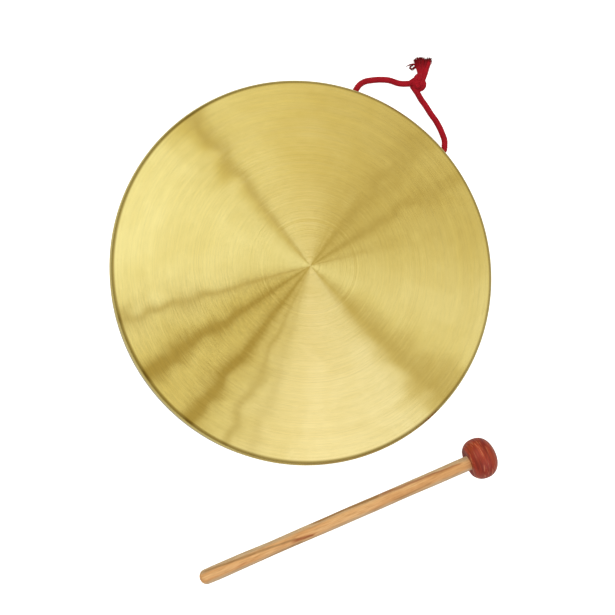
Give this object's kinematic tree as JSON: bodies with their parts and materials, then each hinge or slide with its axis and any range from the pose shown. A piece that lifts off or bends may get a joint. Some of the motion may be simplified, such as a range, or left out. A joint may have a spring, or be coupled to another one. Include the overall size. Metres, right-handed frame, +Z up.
{
  "type": "tam tam gong",
  "caption": "Spun-metal hand gong with a domed face and a straight rim wall, hung on a knotted red cord loop, with a wooden mallet beside it.",
  "frame": {"origin": "on the table, under the middle of the box round the gong and the mallet, the cord left out", "axes": "+Z up out of the gong's face, +Y across the gong away from the mallet, +X to the side of the mallet's head"},
  "size_m": [0.3, 0.4139, 0.0339],
  "materials": {
    "brass": "lathe-turned, fine concentric lines",
    "red_cord": "soft braided cotton, frayed at its ends",
    "red_stained_wood": "red stain under a thin lacquer",
    "plain_wood": "bare turned wood with brown streaks"
  },
  "bodies": {
    "gong": {"gong_plate": "brass", "cord_inner": "red_cord"},
    "hanging_loop": {"cord_left_leg": "red_cord", "cord_right_leg": "red_cord", "knot": "red_cord", "cord_left_tail": "red_cord", "cord_right_tail": "red_cord"},
    "mallet": {"mallet_head": "red_stained_wood", "mallet_handle": "plain_wood"}
  },
  "joints": [
    {"name": "loop_swing", "type": "hinge", "parent": "gong", "child": "hanging_loop", "pos_m": [0.07996, 0.1666, 0.009], "axis": [0.8396, -0.5432, 0], "range_deg": [0, 100]},
    {"name": "mallet_lift", "type": "slide", "parent": "gong", "child": "mallet", "axis": [0, 0, 1], "range_m": [0, 0.2]}
  ]
}
